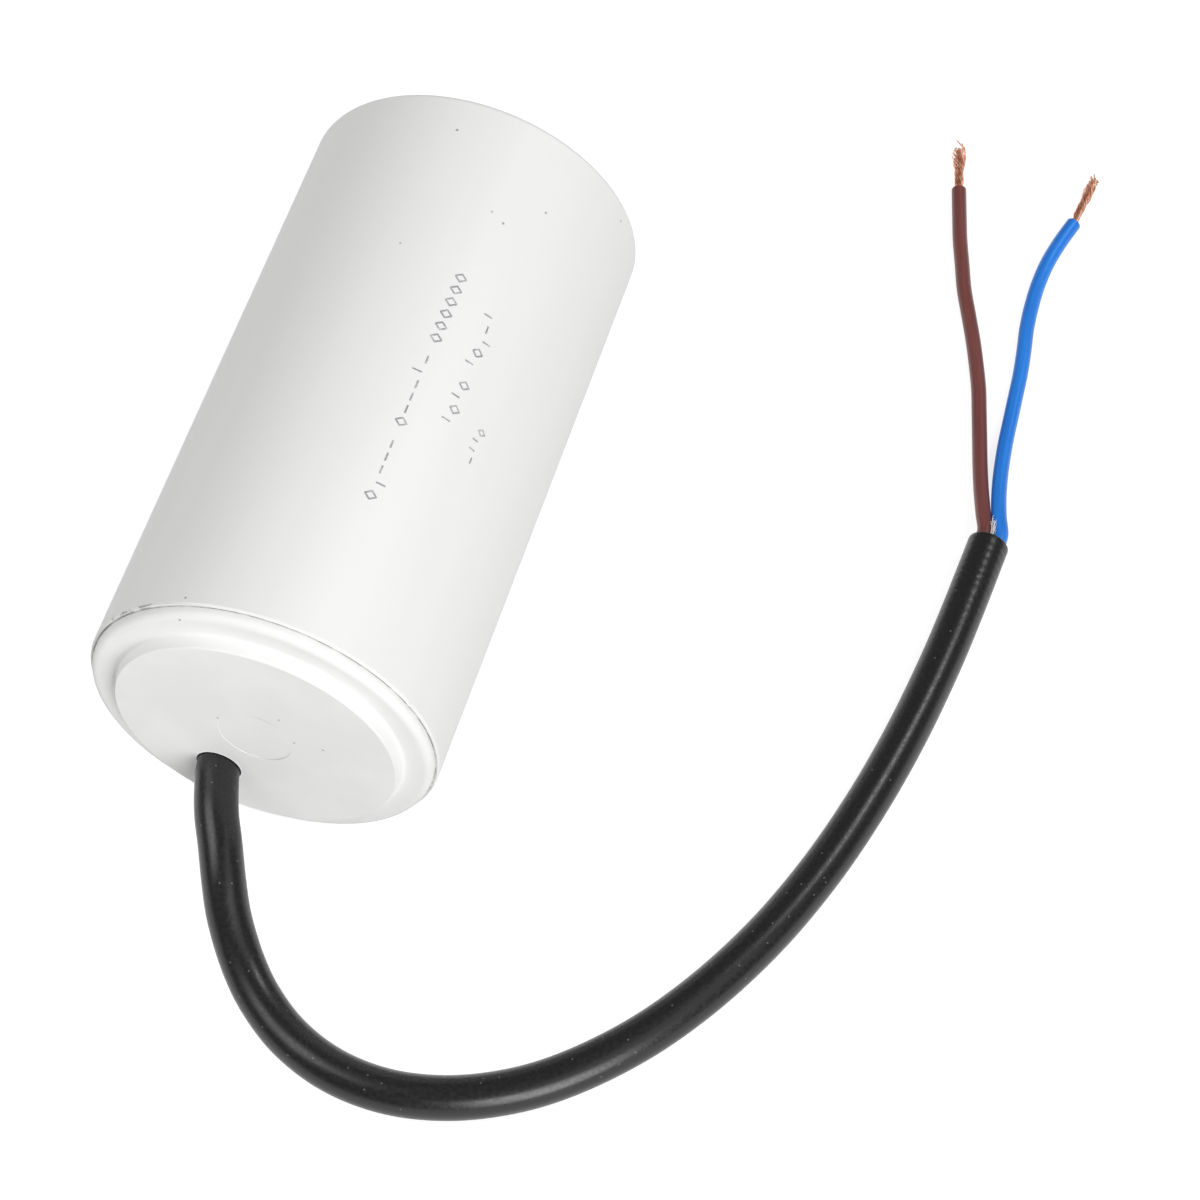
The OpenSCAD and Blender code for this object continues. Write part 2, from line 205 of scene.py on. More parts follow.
def rings(path, radius, sides):
    """Rings round a path: centre + radius * (sin a * side - cos a * up).

    `radius` holds one value, or one per path point.
    """
    side, up = across(path)
    angle = 2 * np.pi * np.arange(sides) / sides
    out = np.sin(angle)[:, None] * side[:, None] - np.cos(angle)[:, None] * up[:, None]
    return path[:, None] + np.broadcast_to(radius, len(path))[:, None, None] * out


def linked(name, mesh):
    """A smooth-shaded object of that mesh in the scene."""
    mesh.shade_smooth()
    piece = bpy.data.objects.new(name, mesh)
    bpy.context.scene.collection.objects.link(piece)
    return piece


def rods_mesh(name, grids):
    """One mesh of closed rods from a (rod, row, side, 3) array of points.

    Each rod's rings are joined by quads and its two ends are closed by a fan round
    their middle. The map "run" holds, for each corner, the distance along its rod and
    round it, in metres.
    """
    rods, rows, sides = grids.shape[:3]
    index = np.arange(rods * rows * sides).reshape(rods, rows, sides)
    turned = np.roll(index, -1, axis=2)
    quads = np.stack([index[:, :-1], turned[:, :-1], turned[:, 1:], index[:, 1:]], axis=-1)
    middles = grids[:, [0, -1]].mean(axis=2).reshape(-1, 3)
    first = rods * rows * sides + 2 * np.arange(rods)
    start = np.stack(np.broadcast_arrays(turned[:, 0], index[:, 0], first[:, None]), axis=-1)
    end = np.stack(np.broadcast_arrays(index[:, -1], turned[:, -1], first[:, None] + 1), axis=-1)

    line = grids.mean(axis=2)
    step = np.linalg.norm(np.diff(line, axis=1), axis=2)
    along = np.concatenate([np.zeros((rods, 1)), np.cumsum(step, axis=1)], axis=1)
    middle_ring = grids[:, rows // 2]
    girth = np.linalg.norm(middle_ring - np.roll(middle_ring, -1, axis=1), axis=2)
    about = np.concatenate([np.zeros((rods, 1)), np.cumsum(girth, axis=1)], axis=1)
    u = np.broadcast_to(along[:, :, None], (rods, rows, sides + 1))
    v = np.broadcast_to(about[:, None, :], (rods, rows, sides + 1))
    uv = np.stack([u, v], axis=-1)
    quad_uv = np.stack(
        [uv[:, :-1, :-1], uv[:, :-1, 1:], uv[:, 1:, 1:], uv[:, 1:, :-1]], axis=-2
    )
    start_uv = np.zeros((rods * sides * 3, 2))
    end_uv = np.repeat(along[:, -1], sides * 3)[:, None] * [1.0, 0.0]

    mesh = bpy.data.meshes.new(name)
    points = np.vstack([grids.reshape(-1, 3), middles])
    caps = np.vstack([start.reshape(-1, 3), end.reshape(-1, 3)])
    mesh.from_pydata(points.tolist(), [], [*quads.reshape(-1, 4).tolist(), *caps.tolist()])
    corner_uv = np.vstack([quad_uv.reshape(-1, 2), start_uv, end_uv])
    mesh.uv_layers.new(name="run").data.foreach_set("uv", corner_uv.ravel())
    return linked(name, mesh)


def cut_rod(name, path, diameter, step, rim, sides):
    """Rod along a path whose far end is cut square, with its edge rounded to the radius `rim`.

    The rounding takes rim - sqrt(rim^2 - (rim - d)^2) off the rod's radius at a distance
    d from the end, and stations lie close together over it.
    """
    run = run_along(path)
    over_rim = rim * (1 - np.cos(np.linspace(0, np.pi / 2, 7)))
    at = np.unique(np.concatenate([np.arange(0, run[-1] - rim, step), run[-1] - over_rim]))
    inside = np.clip(rim - (run[-1] - at), 0, None)
    depth = rim - np.sqrt(np.clip(rim**2 - inside**2, 0, None))
    grid = rings(read_at(at, run, path), diameter / 2 - depth, sides)
    return rods_mesh(name, grid[None])


def finish_piece(piece, material, slot, *nodes):
    """Gives a piece its material and body, and hides the nodes that it replaces. Its slot is not
    used.
    """
    piece.data.materials.append(material)
    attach(piece, "root")
    if nodes:
        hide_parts(*nodes)
    return piece


# ---------------------------------------------------------------- material building


def tone(code):
    """sRGB hex colour as the linear RGBA that the nodes take."""
    parts = np.array([int(code[i : i + 2], 16) for i in (1, 3, 5)]) / 255
    linear = np.where(parts <= 0.04045, parts / 12.92, ((parts + 0.055) / 1.055) ** 2.4)
    return (*linear.tolist(), 1)


def add(tree, kind, inputs=(), **settings):
    """Adds a node, sets its properties, and sets or links its input sockets."""
    node = tree.nodes.new(kind)
    for key, value in settings.items():
        setattr(node, key, value)
    for key, value in dict(inputs).items():
        if isinstance(value, bpy.types.NodeSocket):
            tree.links.new(value, node.inputs[key])
        else:
            node.inputs[key].default_value = value
    return node


def principled(name, colour, **constants):
    """Material with one Principled BSDF, whose constants are set on its own sockets."""
    material = bpy.data.materials.new(name)
    material.use_nodes = True
    material.diffuse_color = tone(colour)
    tree = material.node_tree
    tree.nodes.clear()
    values = {key.replace("_", " "): value for key, value in constants.items()}
    shader = add(tree, "ShaderNodeBsdfPrincipled", {"Base Color": tone(colour), **values})
    add(tree, "ShaderNodeOutputMaterial", {"Surface": shader.outputs[0]})
    return material, tree, shader


def formula(tree, operation, a, b=0.0):
    """Result of one Math node."""
    return add(tree, "ShaderNodeMath", {0: a, 1: b}, operation=operation).outputs[0]


def stretch(tree, value, low, high, out_low=0.0, out_high=1.0):
    """A value carried smoothly from one range onto another and held at the ends."""
    node = add(tree, "ShaderNodeMapRange", {
        "Value": value, "From Min": low, "From Max": high, "To Min": out_low, "To Max": out_high,
    }, interpolation_type="SMOOTHSTEP")
    return node.outputs["Result"]


def blend_colours(tree, share, a, b):
    """Mix of two colours; each is a hex code or a socket."""
    a, b = (tone(c) if isinstance(c, str) else c for c in (a, b))
    node = add(tree, "ShaderNodeMix", {"Factor": share, 6: a, 7: b}, data_type="RGBA")
    return node.outputs[2]


def lumps(tree, point, size_mm, detail=2.0, scale=(1, 1, 1)):
    """Noise whose lumps are about `size_mm` across; scale below 1 draws them out."""
    place = add(tree, "ShaderNodeMapping", {"Vector": point, "Scale": scale}).outputs[0]
    fineness = 0.5 / (size_mm * MM)
    settings = {"Vector": place, "Scale": fineness, "Detail": detail}
    return add(tree, "ShaderNodeTexNoise", settings).outputs[0]


def relief(tree, height, depth_mm, strength=1.0, below=None):
    """Bump whose height runs over `depth_mm`, on top of another normal if one is given."""
    inputs = {"Height": height, "Distance": depth_mm * MM, "Strength": strength}
    if below is not None:
        inputs["Normal"] = below
    return add(tree, "ShaderNodeBump", inputs).outputs[0]


def add_up(tree, *values):
    """Sum of several values."""
    total = values[0]
    for value in values[1:]:
        total = formula(tree, "ADD", total, value)
    return total


def times(tree, *values):
    """Product of several values."""
    product = values[0]
    for value in values[1:]:
        product = formula(tree, "MULTIPLY", product, value)
    return product


def on_axis(tree):
    """Object point; how far it is from the case's axis, how far along it, and its angle.

    The angle is 0 at +X and a quarter turn at the top.
    """
    point = add(tree, "ShaderNodeTexCoord").outputs["Object"]
    parts = add(tree, "ShaderNodeSeparateXYZ", {0: point}).outputs
    dx = formula(tree, "SUBTRACT", parts[0], AXIS_X)
    dz = formula(tree, "SUBTRACT", parts[2], AXIS_Z)
    far = formula(tree, "SQRT", add_up(tree, times(tree, dx, dx), times(tree, dz, dz)))
    return point, far, parts[1], formula(tree, "ARCTAN2", dz, dx)


def away_from(tree, place, spot):
    """Distance between two places."""
    between = add(tree, "ShaderNodeVectorMath", {0: place, 1: spot}, operation="DISTANCE")
    return between.outputs["Value"]


def specks(tree, place, spots):
    """1 inside small round spots, each given by its two coordinates and its radius, in mm."""
    share = 0.0
    for x, y, radius in spots:
        off = away_from(tree, place, (x * MM, y * MM, 0))
        inside = stretch(tree, off, 0.5 * radius * MM, radius * MM, 1, 0)
        share = formula(tree, "MAXIMUM", share, inside)
    return share


def band(tree, value, middle, half_width):
    """1 in the middle of a band, falling smoothly to 0 at half_width to either side."""
    off = formula(tree, "ABSOLUTE", formula(tree, "SUBTRACT", value, middle))
    return stretch(tree, off, 0, half_width, 1, 0)


# ----------------------------------------------------------------- case and lid


def case_material():
    """The case's white plastic, in places along its axis and round it."""
    # Polypropylene copolymer, injection moulded: a milky white with a soft sheen. Faint
    # lengthwise flow marks and the mould's spark-eroded grain, drawn a little coarser than
    # it is, keep it from looking like paper. Painted shade darkens the crevice beside the lid,
    # greyer blotches lie on the mouth's rounding over the upper left, and a few grey specks
    # are moulding dirt.
    material, tree, shader = principled(
        "white_polypropylene_moulded", "#EDEDEC", Roughness=0.48, IOR=1.49
    )
    point, far, along, angle = on_axis(tree)
    flow = lumps(tree, point, 9, 3, (1, 0.12, 1))
    grain = lumps(tree, point, 0.35, 2)
    cloud = blend_colours(tree, stretch(tree, flow, 0.35, 0.7), "#EAEAE9", "#EFEFEE")
    # Painted shade: a darker grey line in the crevice beside the lid, where the seam's gap lies in
    # shade.
    crevice_painted_shade = times(
        tree, band(tree, far, FLANGE_R + 0.08 * MM, 0.28 * MM),
        stretch(tree, along, MOUTH_Y + 0.1 * MM, MOUTH_Y + 0.3 * MM, 1, 0),
        stretch(tree, lumps(tree, point, 1.2, 3), 0.3, 0.6, 0.4, 1),
    )
    # Greyer blotches on the mouth's rounding over the upper left, next to the seam.
    upper_left_blotches = times(
        tree, band(tree, angle, np.radians(134), np.radians(26)),
        stretch(tree, along, MOUTH_Y + 0.2 * MM, MOUTH_Y + 0.45 * MM, 1, 0),
        stretch(tree, lumps(tree, point, 1.0, 3), 0.45, 0.56),
    )
    around = times(tree, angle, CASE_R)
    unrolled = add(tree, "ShaderNodeCombineXYZ", {0: around, 1: along}).outputs[0]
    dirt = specks(tree, unrolled, [
        (28.1, 29.3, 0.26), (30.2, 30.2, 0.2), (22.9, 35, 0.24), (9.3, 45.1, 0.22),
        (39.3, 41.7, 0.28), (40.4, 19.9, 0.18), (48.9, -43.2, 0.24), (-16, 12, 0.22),
        (-29, -24, 0.2), (70, 28, 0.24),
    ])
    marked = blend_colours(tree, crevice_painted_shade, cloud, "#838381")
    marked = blend_colours(tree, upper_left_blotches, marked, "#A2A29F")
    marked = blend_colours(tree, dirt, marked, "#A2A2A0")
    tree.links.new(marked, shader.inputs["Base Color"])
    tree.links.new(stretch(tree, grain, 0.3, 0.7, 0.42, 0.54), shader.inputs["Roughness"])
    normal = relief(tree, flow, 0.05, 0.6)
    tree.links.new(relief(tree, grain, 0.006, 0.5, normal), shader.inputs["Normal"])
    return material


def lid_material():
    """The lid's white plastic, in places round its middle and round the outlet."""
    # Polypropylene, injection moulded in another mould: a touch more matt than the case.
    # Two broken arcs stand on its face where the mould's insert met it, a painted highlight
    # rings the outlet's edge in white, and painted shade darkens the flange's lower edge.
    material, tree, shader = principled(
        "white_polypropylene_lid", "#EFEFEE", Roughness=0.6, IOR=1.43
    )
    point, far, along, angle = on_axis(tree)
    parts = add(tree, "ShaderNodeSeparateXYZ", {0: point}).outputs
    flat = add(tree, "ShaderNodeCombineXYZ", {0: parts[0], 1: parts[2]}).outputs[0]
    grain = lumps(tree, point, 0.4, 2)
    clouds = stretch(tree, lumps(tree, point, 6, 2), 0.35, 0.7)
    cloud = blend_colours(tree, clouds, "#EDEDEC", "#F2F2F1")
    on_face = stretch(tree, along, FACE_Y + 0.2 * MM, FACE_Y + 0.5 * MM, 1, 0)
    upper_arc = band(tree, angle, np.radians(72), np.radians(30))
    lower_arc = band(tree, angle, np.radians(-52), np.radians(48))
    arcs = times(
        tree, band(tree, far, INSERT_R * MM, 0.2 * MM), on_face,
        formula(tree, "MAXIMUM", upper_arc, lower_arc),
    )
    from_outlet = away_from(tree, flat, (AXIS_X + OUTLET[0] * MM, OUTLET[1] * MM, 0))
    # Painted highlight: a white ring on the lid's face round the outlet's edge.
    outlet_painted_highlight = times(
        tree, band(tree, from_outlet, (SHEATH_D / 2 + 0.3) * MM, 0.35 * MM), on_face
    )
    dirt = specks(tree, flat, [
        (9.8, 26.3, 0.2), (-5.1, 27.5, 0.2), (5.7, 26.2, 0.2), (3.9, 31.2, 0.18),
        (-9.4, 46.6, 0.22),
    ])
    # Painted shade: the flange's rounding is darker grey over its lower side, which faces the
    # floor.
    lower_rim_painted_shade = times(
        tree, stretch(tree, far, FLANGE_R - 0.85 * MM, FLANGE_R - 0.5 * MM),
        band(tree, angle, np.radians(-98), np.radians(95)),
    )
    marked = blend_colours(tree, times(tree, arcs, 0.6), cloud, "#B4B4B2")
    marked = blend_colours(tree, lower_rim_painted_shade, marked, "#8C8C8A")
    marked = blend_colours(tree, outlet_painted_highlight, marked, "#FFFFFF")
    marked = blend_colours(tree, dirt, marked, "#9C9C9A")
    tree.links.new(marked, shader.inputs["Base Color"])
    tree.links.new(stretch(tree, grain, 0.3, 0.7, 0.54, 0.66), shader.inputs["Roughness"])
    normal = relief(tree, arcs, 0.05, 0.8)
    tree.links.new(relief(tree, grain, 0.006, 0.5, normal), shader.inputs["Normal"])
    return material


case_plastic = case_material()
lid_plastic = lid_material()

# ---------------------------------------------------------------------- the lead

# Waves across the sheath's skin, in radians a metre
SWELL_ALONG = 140
SWELL_AROUND = 667
RIPPLE_ALONG = 4600


def sheath_material(length):
    """Black skin of a sheath that is `length` long, in places along it and round it."""
    # Plasticised PVC, extruded: near black, with a clear highlight along it. Drawing lines
    # run along it, the twisted cores show through as a slow swell, and pale dust clings to
    # it. Faint uneven ripples near its end are where the stripping tool gripped it.
    material, tree, shader = principled(
        "black_pvc_extruded", "#0A0A0B", Roughness=0.25, IOR=1.54
    )
    where = add(tree, "ShaderNodeUVMap", uv_map="run").outputs[0]
    along, around = add(tree, "ShaderNodeSeparateXYZ", {0: where}).outputs[:2]
    drawn = lumps(tree, where, 0.5, 2, (0.03, 1, 1))
    pores = lumps(tree, where, 0.3, 3)
    twist = add_up(tree, times(tree, along, SWELL_ALONG), times(tree, around, SWELL_AROUND))
    swell = formula(tree, "SINE", twist)
    wander = times(tree, lumps(tree, where, 1.6, 2), 9)
    phase = add_up(tree, times(tree, along, RIPPLE_ALONG), wander)
    gripped = stretch(tree, along, length - 30 * MM, length - 5 * MM)
    ripple = times(tree, formula(tree, "SINE", phase), gripped, lumps(tree, where, 2.2, 1))
    cells = {"Vector": where, "Scale": 1 / (2.6 * MM)}
    grains = add(tree, "ShaderNodeTexVoronoi", cells, voronoi_dimensions="2D").outputs
    chance = add(tree, "ShaderNodeSeparateColor", {0: grains["Color"]}).outputs[0]
    dust = times(
        tree, stretch(tree, grains["Distance"], 0.03, 0.06, 1, 0),
        stretch(tree, chance, 0.72, 0.74),
    )
    skin = blend_colours(tree, stretch(tree, pores, 0.35, 0.75), "#09090A", "#101011")
    tree.links.new(blend_colours(tree, dust, skin, "#5E5E60"), shader.inputs["Base Color"])
    tree.links.new(stretch(tree, pores, 0.3, 0.7, 0.26, 0.36), shader.inputs["Roughness"])
    normal = relief(tree, swell, 0.05, 0.5)
    normal = relief(tree, ripple, 0.02, 0.8, normal)
    normal = relief(tree, drawn, 0.02, 0.5, normal)
    tree.links.new(relief(tree, pores, 0.01, 0.4, normal), shader.inputs["Normal"])
    return material


sheath_path = smooth_path(SHEATH_ROUTE, 0.5 * MM)
SHEATH_L = run_along(sheath_path)[-1]
sheath_pvc = sheath_material(SHEATH_L)
sheath = cut_rod("lead_sheath", sheath_path, SHEATH_D * MM, 0.8 * MM, 0.35 * MM, 72)
finish_piece(sheath, sheath_pvc, "sheath_pvc", "cable_sheath")


def core_material(name, dark, light):
    """The skin of an insulated core, in two tones of its colour."""
    # Coloured PVC, extruded: evenly dyed, a little duller than the sheath, with faint
    # drawing lines along it.
    material, tree, shader = principled(name, dark, Roughness=0.36, IOR=1.53)
    where = add(tree, "ShaderNodeUVMap", uv_map="run").outputs[0]
    drawn = lumps(tree, where, 0.3, 2, (0.04, 1, 1))
    streaks = blend_colours(tree, stretch(tree, drawn, 0.3, 0.7), dark, light)
    tree.links.new(streaks, shader.inputs["Base Color"])
    tree.links.new(relief(tree, drawn, 0.015, 0.5), shader.inputs["Normal"])
    return material


core_plastics = {
    "brown": core_material("brown_pvc_extruded", "#6D3733", "#78423D"),
    "blue": core_material("blue_pvc_extruded", "#1273D4", "#1F83E6"),
}
cores = {}
core_paths = {}
for colour, route in CORE_ROUTES.items():
    path = smooth_path(route, 0.3 * MM)
    core = cut_rod(colour + "_insulation", path, CORE_D * MM, 0.5 * MM, 0.15 * MM, 40)
    finish_piece(core, core_plastics[colour], colour + "_insulation", colour + "_core")
    core_paths[colour] = path
    cores[colour] = core


def copper_material():
    """Copper whose tint changes from strand to strand."""
    # Bright copper wire, drawn and bunched: each strand catches its own light.
    material, tree, shader = principled(
        "copper_wire_drawn", "#F6C0A2", Roughness=0.3, Metallic=1.0
    )
    point = add(tree, "ShaderNodeTexCoord").outputs["Object"]
    tint = stretch(tree, lumps(tree, point, 0.5, 2), 0.3, 0.7)
    tree.links.new(blend_colours(tree, tint, "#D68B68", "#FFD2B8"), shader.inputs["Base Color"])
    return material


# 24 strands of 0.2 mm make up 0.75 square millimetres: those in each ring, and its radius
STRANDS_IN_RING = (3, 9, 12)
RING_RADII = (0.12, 0.3, 0.45)


def strand_bundle(name, path, lay, flare, seed):
    """Strands twisted round a path, in three rings, that fan out at the tip.

    Strand k runs at path + r * (sin a * side - cos a * up), where a is its own start
    angle plus one turn per `lay`, and r its ring's radius times 1 + flare * s^2, with s
    running from 0 to 1 along the bare length. Each strand ends at a length of its own.
    """
    random = np.random.default_rng(seed)
    ring_r = np.repeat(RING_RADII, STRANDS_IN_RING) * MM
    start = np.concatenate([2 * np.pi * np.arange(n) / n for n in STRANDS_IN_RING])
    count, rows = len(ring_r), 44
    side, up = across(path)
    run = run_along(path)
    s = np.linspace(0, 1, rows) * random.uniform(0.86, 1.0, (count, 1))
    wander = np.cumsum(random.normal(0, 0.02, (count, rows)), axis=1)
    spread = 1 + flare * s**2 * random.uniform(0.2, 1.6, (count, 1)) + wander * s
    angle = start[:, None] + 2 * np.pi * s * run[-1] / lay + 0.5 * wander
    centre, sideways, upwards = (read_at(s * run[-1], run, line) for line in (path, side, up))
    r = (ring_r[:, None] * spread)[..., None]
    lines = centre + r * (np.sin(angle)[..., None] * sideways - np.cos(angle)[..., None] * upwards)
    lines[..., 2] = np.maximum(lines[..., 2], STRAND_D / 2 * MM)
    return rods_mesh(name, np.stack([rings(line, STRAND_D / 2 * MM, 8) for line in lines]))


copper = copper_material()
# Each bundle's lay, its flare and the seed of its random draws
BUNDLES = {"brown": (11 * MM, 1.3, 3), "blue": (8 * MM, 1.0, 5)}
bundles = {}
for colour, twisting in BUNDLES.items():
    path = smooth_path(BARE_ROUTES[colour], 0.2 * MM)
    bundles[colour] = strand_bundle(colour + "_copper_strands", path, *twisting)
    finish_piece(bundles[colour], copper, "bare_copper", colour + "_strands")


def cotton_material():
    """White cotton in two close tones."""
    # Spun cotton filler: matt white fibres with a soft fuzz.
    material, tree, shader = principled(
        "white_cotton_spun", "#F2F1EE", Roughness=0.95, IOR=1.5, Sheen_Weight=0.4
    )
    where = add(tree, "ShaderNodeUVMap", uv_map="run").outputs[0]
    tufts = blend_colours(tree, lumps(tree, where, 0.3, 2), "#E6E5E2", "#F8F8F6")
    tree.links.new(tufts, shader.inputs["Base Color"])
    return material


def fibre_tuft(name, path, count, seed):
    """Loose fibres round a path: each wanders off it by a random walk that grows along it."""
    random = np.random.default_rng(seed)
    share = np.linspace(0, 1, 30)
    run = run_along(path)
    fine = read_at(share * run[-1], run, path)
    start = random.normal(0, THREAD_D / 5 * MM, (count, 1, 3))
    walk = np.cumsum(random.normal(0, 0.045 * MM, (count, len(share), 3)), axis=1)
    walk = (walk + np.roll(walk, 1, axis=1) + np.roll(walk, -1, axis=1)) / 3
    walk[:, 0] = 0
    reach = random.uniform(0.35, 1.0, (count, 1))
    lines = read_at(share * reach, share, fine) + start + walk * share[None, :, None]
    return rods_mesh(name, np.stack([rings(line, FIBRE_R * MM, 5) for line in lines]))


cotton = cotton_material()
thread = fibre_tuft("filler_fibres", smooth_path(THREAD_ROUTE, 0.2 * MM), 26, 11)
finish_piece(thread, cotton, "white_thread", "filler_thread")

# ------------------------------------------------------------------ the seam's flash


def seam_flash():
    """Thin uneven bead of plastic round the seam, a closed ring of small rings.

    Its middle runs just outside the flange's radius. Its own radius is 0.04 mm plus what a
    sum of sines of the angle a adds, and it is thicker, as exp(-((a - middle) / width)^2),
    over the upper left and at one small nick.
    """
    count, sides = 720, 8
    a = np.linspace(0, 2 * np.pi, count, endpoint=False)
    noise = sum(
        rng.uniform(0.3, 1) * np.sin(k * a + rng.uniform(0, 2 * np.pi)) / k**0.5
        for k in range(3, 90)
    )
    noise /= np.abs(noise).max()
    upper_left = np.exp(-(((a - np.radians(121)) / 0.2) ** 2))
    nick = np.exp(-(((a - np.radians(31)) / 0.018) ** 2))
    lumpy = np.clip(0.5 + noise, 0, 1)
    thick = (0.04 + 0.04 * np.clip(noise, 0, 1) + 0.12 * upper_left * lumpy + 0.2 * nick) * MM
    centre_r = FLANGE_R + (0.36 + 0.2 * upper_left + 0.1 * nick) * MM
    b = 2 * np.pi * np.arange(sides) / sides
    r = centre_r[:, None] + thick[:, None] * np.cos(b)
    y = MOUTH_Y - 0.02 * MM + thick[:, None] * np.sin(b)
    x, z = AXIS_X + r * np.cos(a)[:, None], AXIS_Z + r * np.sin(a)[:, None]
    points = np.stack([x, y, z], axis=-1)
    index = np.arange(count * sides).reshape(count, sides)
    ahead = np.roll(index, -1, axis=0)
    corners = [index, ahead, np.roll(ahead, -1, axis=1), np.roll(index, -1, axis=1)]
    quads = np.stack(corners, axis=-1)
    mesh = bpy.data.meshes.new("seam_flash")
    mesh.from_pydata(points.reshape(-1, 3).tolist(), [], quads.reshape(-1, 4).tolist())
    return linked("seam_flash", mesh)


finish_piece(seam_flash(), lid_plastic, "lid_plastic")

# ---------------------------------------------------------------- the stamped marks

# Each row: its angle round the case in degrees, the start along it, the pitch and the
# height in mm, and how many marks stand in each of its groups
MARK_ROWS = [
    (67.0, -21.5, 2.18, 2.8, (5, 6, 6)),
    (53.0, -5.0, 2.1, 2.6, (4, 5)),
    (42.0, -8.0, 1.6, 2.0, (4,)),
]
# Width of a stroke of ink, and how far it stands out of the case and reaches in, in mm
STROKE = 0.25
INK_PROUD = 0.02


def stamped_marks():
    """Rows of diamonds, ticks and dashes, as strokes of ink that stand proud of the case.

    A mark is a line of points in a unit square. It is scaled to its row's pitch and
    height, given four corners a stroke's width apart, and wrapped on the case: distance
    round the girth over the case's radius is the angle. A diamond stands in the middle
    of the square; a tick fills its lower or its upper half.
    """
    s = np.linspace(0, 1, 25)
    half = np.full(len(s), 0.5)
    corners = np.arange(5) / 4
    shapes = [
        [np.interp(s, corners, x) for x in ((0.5, 1, 0.5, 0, 0.5), (0.8, 0.5, 0.2, 0.5, 0.8))],
        [half, 0.5 * s],
        [half, 1 - 0.5 * s],
        [s, half],
    ]
    lines = []
    for row_angle, start, pitch, height, groups in MARK_ROWS:
        place = start
        for count in groups:
            for kind in rng.choice(len(shapes), count, p=(0.3, 0.2, 0.2, 0.3)):
                across_mm, up_mm = np.array(shapes[kind]) * [[0.62 * pitch], [height]]
                up_mm += np.radians(row_angle) * CASE_R / MM
                lines.append(np.stack([place + across_mm, up_mm], axis=-1))
                place += pitch
            place += 0.8 * pitch
    lines = np.array(lines) * MM
    ahead = np.gradient(lines, axis=1)
    ahead /= np.linalg.norm(ahead, axis=2, keepdims=True)
    side = np.stack([ahead[..., 1], -ahead[..., 0]], axis=-1)
    corner = np.array([-0.5, 0.5, 0.5, -0.5])[:, None] * STROKE * MM
    flat = lines[:, :, None] + corner * side[:, :, None]
    r = CASE_R + np.array([-1, -1, 1, 1]) * INK_PROUD * MM
    girth = flat[..., 1] / CASE_R
    points = [AXIS_X + r * np.cos(girth), flat[..., 0], AXIS_Z + r * np.sin(girth)]
    return rods_mesh("stamped_marks", np.stack(points, axis=-1))


def ink_material():
    """Grey ink in two tones."""
    # Marking ink, stamped: matt, thin enough for the plastic to show through in places.
    material, tree, shader = principled("grey_ink_stamped", "#A7A8AA", Roughness=0.6)
    point = add(tree, "ShaderNodeTexCoord").outputs["Object"]
    worn = stretch(tree, lumps(tree, point, 0.6, 3), 0.42, 0.65)
    tree.links.new(blend_colours(tree, worn, "#A0A1A4", "#C8C9CA"), shader.inputs["Base Color"])
    return material


finish_piece(stamped_marks(), ink_material(), "case_plastic")

# ------------------------------------------------------------- finishes of the nodes


def grained(name, dark, light, size_mm, depth_mm, draw=(1, 1, 1), **constants):
    """Material of two tones in lumps of one size, with the same lumps as relief."""
    material, tree, shader = principled(name, light, **constants)
    point = add(tree, "ShaderNodeTexCoord").outputs["Object"]
    pattern = lumps(tree, point, size_mm, 3, draw)
    tones = blend_colours(tree, stretch(tree, pattern, 0.3, 0.7), dark, light)
    tree.links.new(tones, shader.inputs["Base Color"])
    tree.links.new(relief(tree, pattern, depth_mm), shader.inputs["Normal"])
    return material


# Metallised film, wound: silvery, with fine lengthwise layers.
wound_film = grained(
    "metallised_film_wound", "#B9B9B4", "#D6D6D2", 0.4, 0.02, (1, 0.05, 1),
    Roughness=0.3, Metallic=0.6,
)
# Kraft tube, rolled: pale buff and dull.
tube_board = grained("paper_tube_rolled", "#CFC7B4", "#E2DCCB", 0.6, 0.03, Roughness=0.8)
# Polyester tape, wrapped: straw-coloured and shiny.
wrap_film = grained("polyester_tape_wrapped", "#D8C88E", "#E8DBA8", 8, 0.05, Roughness=0.25)
# Zinc, flame sprayed: grey and gritty.
sprayed_zinc = grained(
    "zinc_flame_sprayed", "#84878A", "#A6A9AC", 0.25, 0.06, Roughness=0.6, Metallic=0.9
)
# Tin solder, cooled from the melt: bright, with a faint crust.
tin_solder = grained(
    "tin_solder_cooled", "#B4B8BC", "#D2D5D8", 1.2, 0.03, Roughness=0.25, Metallic=1.0
)
# Polyurethane resin, poured: dark brown and glossy, with shallow pools.
cast_resin = grained(
    "polyurethane_resin_poured", "#3A322B", "#4A4038", 5, 0.08, Roughness=0.2, IOR=1.5
)
# Pressboard, calendered: buff with short fibres.
calendered_board = grained(
    "pressboard_calendered", "#BEB49A", "#D2C9B2", 0.5, 0.02, (0.3, 1, 1), Roughness=0.75
)
NODE_FINISHES = {
    "case": case_plastic, "end_cap": lid_plastic, "cable_sheath": sheath_pvc,
    "brown_core": core_plastics["brown"], "blue_core": core_plastics["blue"],
    "brown_strands": copper, "blue_strands": copper, "filler_thread": cotton,
    "film_winding": wound_film, "winding_core": tube_board, "outer_wrap": wrap_film,
    "front_contact_layer": sprayed_zinc, "rear_contact_layer": sprayed_zinc,
    "front_solder_joint": tin_solder, "rear_solder_joint": tin_solder,
    "front_lead": core_plastics["blue"], "rear_lead": core_plastics["brown"],
    "front_conductor": copper, "rear_conductor": copper,
    "potting_resin": cast_resin, "rear_spacer": calendered_board,
}
for name, finish in NODE_FINISHES.items():
    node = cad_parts[name]
    node.data.materials.clear()
    node.data.materials.append(finish)

# ------------------------------------------------------------------ light and floor

LIT_PLACE = Vector((0.03, 0, 0.02))


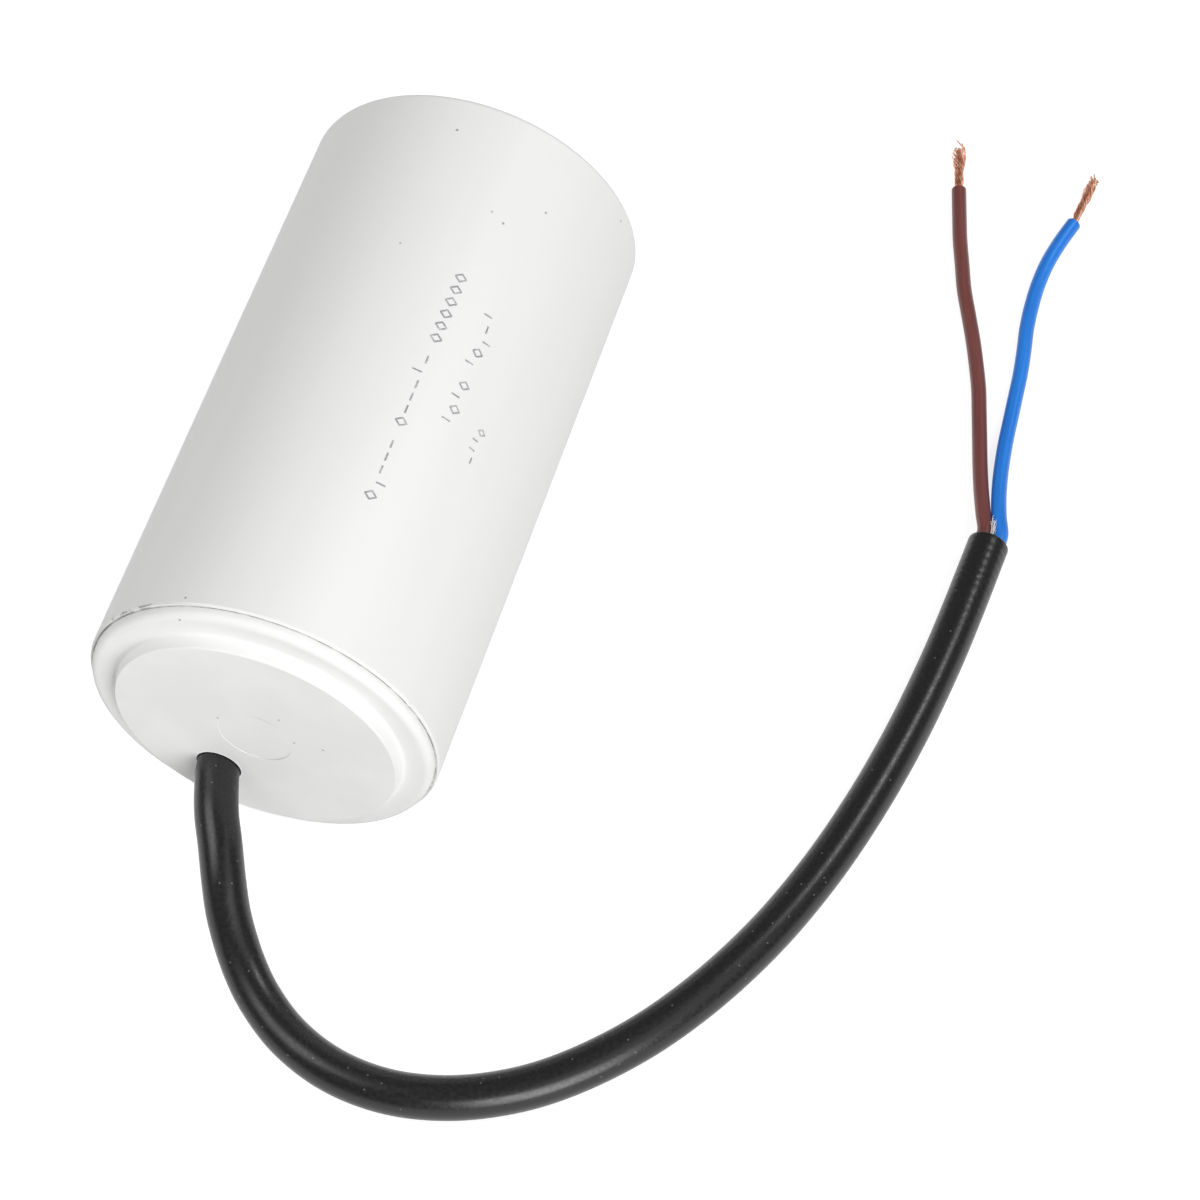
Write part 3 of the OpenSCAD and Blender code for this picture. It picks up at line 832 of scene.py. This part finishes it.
def soft_box(name, place, size, watts):
    """Square area lamp of side `size` at `place`, turned towards the middle of the object."""
    lamp = bpy.data.objects.new(name, bpy.data.lights.new(name, "AREA"))
    lamp.data.size = size
    lamp.data.energy = watts
    lamp.location = place
    lamp.rotation_mode = "QUATERNION"
    lamp.rotation_quaternion = (LIT_PLACE - lamp.location).to_track_quat("-Z", "Y")
    bpy.context.scene.collection.objects.link(lamp)


# A large soft box in front on the right, one high on each side and a small one high behind,
# in an even white room. Together they light a surface that faces up at about full strength.
soft_box("front_soft_box", (0.81, -0.91, 0.54), 0.8, 13)
soft_box("right_soft_box", (0.81, -0.26, 1.02), 0.8, 1.3)
soft_box("left_soft_box", (-0.75, -0.26, 1.02), 0.8, 5.7)
soft_box("rear_soft_box", (0.6, 0.5, 1.0), 0.3, 2.2)
ROOM_LIGHT = 0.3

bpy.ops.mesh.primitive_plane_add(size=6)
floor = bpy.context.object
floor.name = "floor"

# White card, matt. What the camera, a gloss or a glass sees of it is lifted to white,
# so that only a faint shadow of the object stays on it.
card = bpy.data.materials.new("white_card")
card.use_nodes = True
tree = card.node_tree
tree.nodes.clear()
rays = add(tree, "ShaderNodeLightPath").outputs
mirrored = formula(tree, "MAXIMUM", rays["Is Glossy Ray"], rays["Is Transmission Ray"])
seen = formula(tree, "MAXIMUM", rays["Is Camera Ray"], mirrored)
matt = add(tree, "ShaderNodeBsdfDiffuse", {"Color": tone("#B0B0B0")}).outputs[0]
lift = add(tree, "ShaderNodeEmission", {"Strength": times(tree, seen, 0.78)}).outputs[0]
both = add(tree, "ShaderNodeAddShader", {0: matt, 1: lift}).outputs[0]
add(tree, "ShaderNodeOutputMaterial", {"Surface": both})
floor.data.materials.append(card)

room = bpy.data.worlds.new("white_room")
bpy.context.scene.world = room
room.use_nodes = True
tree = room.node_tree
tree.nodes.clear()
rays = add(tree, "ShaderNodeLightPath").outputs
level = stretch(tree, rays["Is Camera Ray"], 0, 1, ROOM_LIGHT, 1)
white = {"Color": tone("#FFFFFF"), "Strength": level}
backdrop = add(tree, "ShaderNodeBackground", white).outputs[0]
add(tree, "ShaderNodeOutputWorld", {"Surface": backdrop})

bpy.context.scene.view_settings.view_transform = "Standard"

# ---------------------------------------------------------------------- the cords

for colour, core in cores.items():
    path = core_paths[colour]
